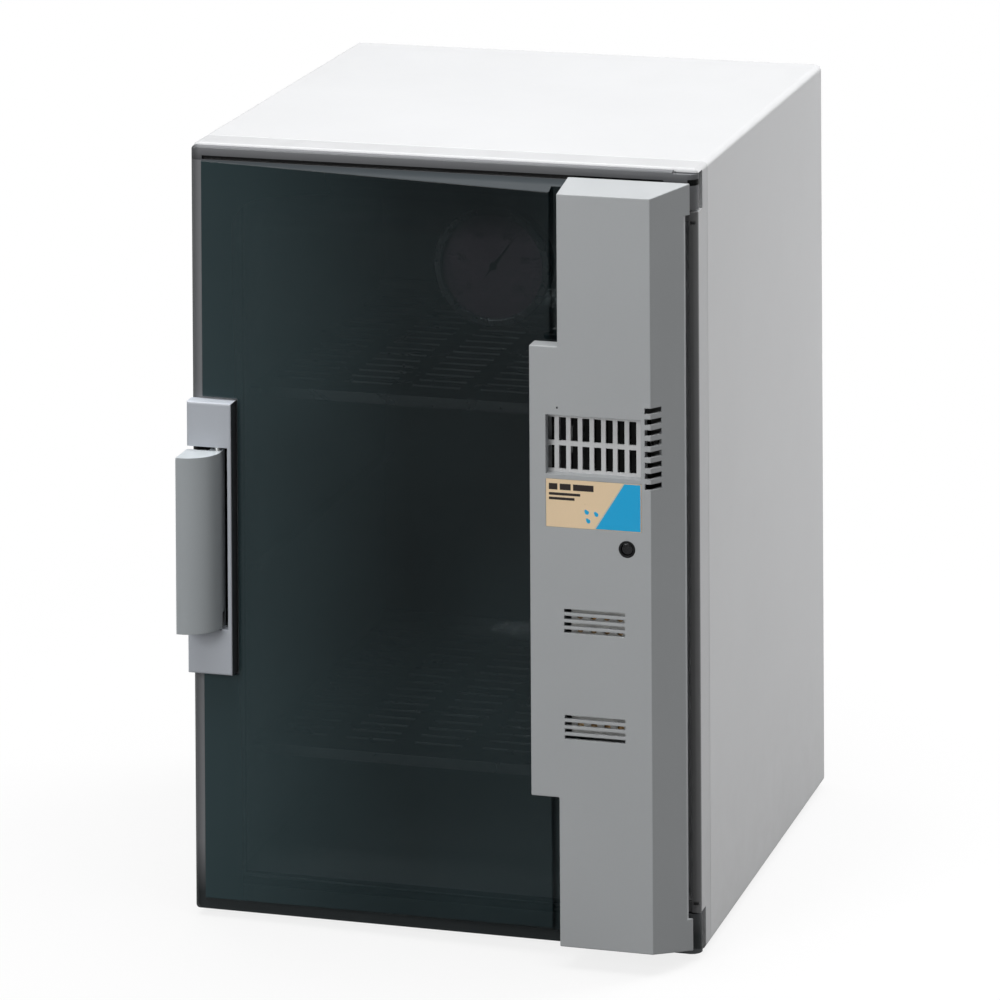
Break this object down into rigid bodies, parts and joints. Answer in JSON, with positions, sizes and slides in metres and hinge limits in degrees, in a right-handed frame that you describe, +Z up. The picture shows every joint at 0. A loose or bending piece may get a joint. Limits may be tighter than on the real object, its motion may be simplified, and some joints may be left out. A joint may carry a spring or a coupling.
{
  "type": "desiccator cabinet",
  "caption": "Bench-top dry cabinet with smoked hinged door, door-mounted self-regenerating drying module, dial hygrometer, latch handle and sliding shelves.",
  "frame": {"origin": "centre of the overall footprint on the resting plane, under the feet", "axes": "+Z up, -Y towards the user (the door side), +X to the hinge side"},
  "size_m": [0.35, 0.428, 0.523],
  "materials": {
    "shell_paint": "white semi-gloss paint",
    "rear_steel": "white matt paint",
    "screw_steel": "zinc plated",
    "foot_rubber": "matt",
    "bezel_plastic": "white semi-gloss moulding",
    "liner_plastic": "white satin",
    "pin_steel": "ground",
    "seal_rubber": "matt",
    "shelf_steel": "satin",
    "door_smoked": "smoked transparent, polished",
    "latch_plastic": "silver grey, fine texture",
    "handle_plastic": "mid grey, fine texture",
    "spring_steel": "drawn wire",
    "housing_plastic": "grey, fine texture",
    "chassis_steel": "zinc plated sheet",
    "grille_plastic": "light grey, fine texture",
    "shutter_plastic": "black, satin",
    "label_film": "printed film, tan and blue",
    "ring_plastic": "black",
    "lens_plastic": "dark translucent",
    "lamp_plastic": "green translucent",
    "board_laminate": "green laminate",
    "pack_metal": "satin, perforated",
    "desiccant_beads": "packed beads",
    "heater_ceramic": "matt",
    "component_plastic": "black",
    "lead_rubber": "smooth",
    "cover_plastic": "black, satin",
    "ring_metal": "dark satin",
    "dial_glass": "clear",
    "case_plastic": "black",
    "dial_plastic": "printed dial",
    "movement_brass": "turned",
    "needle_metal": "black"
  },
  "bodies": {
    "cabinet": {"outer_shell": "shell_paint", "rear_panel": "rear_steel", "rear_screws": "screw_steel", "feet": "foot_rubber", "front_bezel": "bezel_plastic", "inner_liner": "liner_plastic", "hinge_pins": "pin_steel", "door_gasket": "seal_rubber", "latch_keeper": "pin_steel"},
    "lower_shelf": {"lower_shelf": "shelf_steel"},
    "upper_shelf": {"upper_shelf": "shelf_steel"},
    "door": {"door_panel": "door_smoked", "latch_plate": "latch_plastic", "latch_pin": "pin_steel", "latch_spring": "spring_steel", "module_housing": "housing_plastic", "module_chassis": "chassis_steel", "module_screws": "screw_steel", "vent_grille": "grille_plastic", "actuator_spring": "spring_steel", "bias_spring": "spring_steel", "label_plate": "label_film", "indicator_ring": "ring_plastic", "indicator_lens": "lens_plastic", "indicator_lamp": "lamp_plastic", "lamp_board": "board_laminate", "desiccant_case": "pack_metal", "desiccant_cover": "pack_metal", "desiccant_fill": "desiccant_beads", "heater_plate": "heater_ceramic", "circuit_board": "board_laminate", "board_components": "component_plastic", "power_inlet": "component_plastic", "power_leads": "lead_rubber", "inner_vent_cover": "cover_plastic", "hygrometer_ring": "ring_metal", "hygrometer_window": "dial_glass", "hygrometer_case": "case_plastic", "hygrometer_dial": "dial_plastic", "hygrometer_movement": "movement_brass"},
    "latch_lever": {"latch_handle": "handle_plastic"},
    "shutter_carriage": {"outer_shutter": "shutter_plastic", "inner_shutter": "shutter_plastic", "shutter_link": "shutter_plastic"},
    "needle": {"hygrometer_needle": "needle_metal"}
  },
  "joints": [
    {"name": "door_hinge", "type": "hinge", "parent": "cabinet", "child": "door", "pos_m": [0.167, -0.1685, 0.26], "axis": [0, 0, 1], "range_deg": [0, 100]},
    {"name": "latch_lever_pivot", "type": "hinge", "parent": "door", "child": "latch_lever", "pos_m": [-0.154, -0.185, 0.259], "axis": [0, 0, 1], "range_deg": [0, 25]},
    {"name": "upper_shelf_slide", "type": "slide", "parent": "cabinet", "child": "upper_shelf", "axis": [0, -1, 0], "range_m": [-0.012, 0.03]},
    {"name": "lower_shelf_slide", "type": "slide", "parent": "cabinet", "child": "lower_shelf", "axis": [0, -1, 0], "range_m": [-0.012, 0.03]},
    {"name": "shutter_slide", "type": "slide", "parent": "door", "child": "shutter_carriage", "axis": [-1, 0, 0], "range_m": [0, 0.00395]},
    {"name": "hygrometer_needle_turn", "type": "hinge", "parent": "door", "child": "needle", "pos_m": [0.0365, -0.179, 0.452], "axis": [0, 1, 0], "range_deg": [-167, 93]}
  ]
}
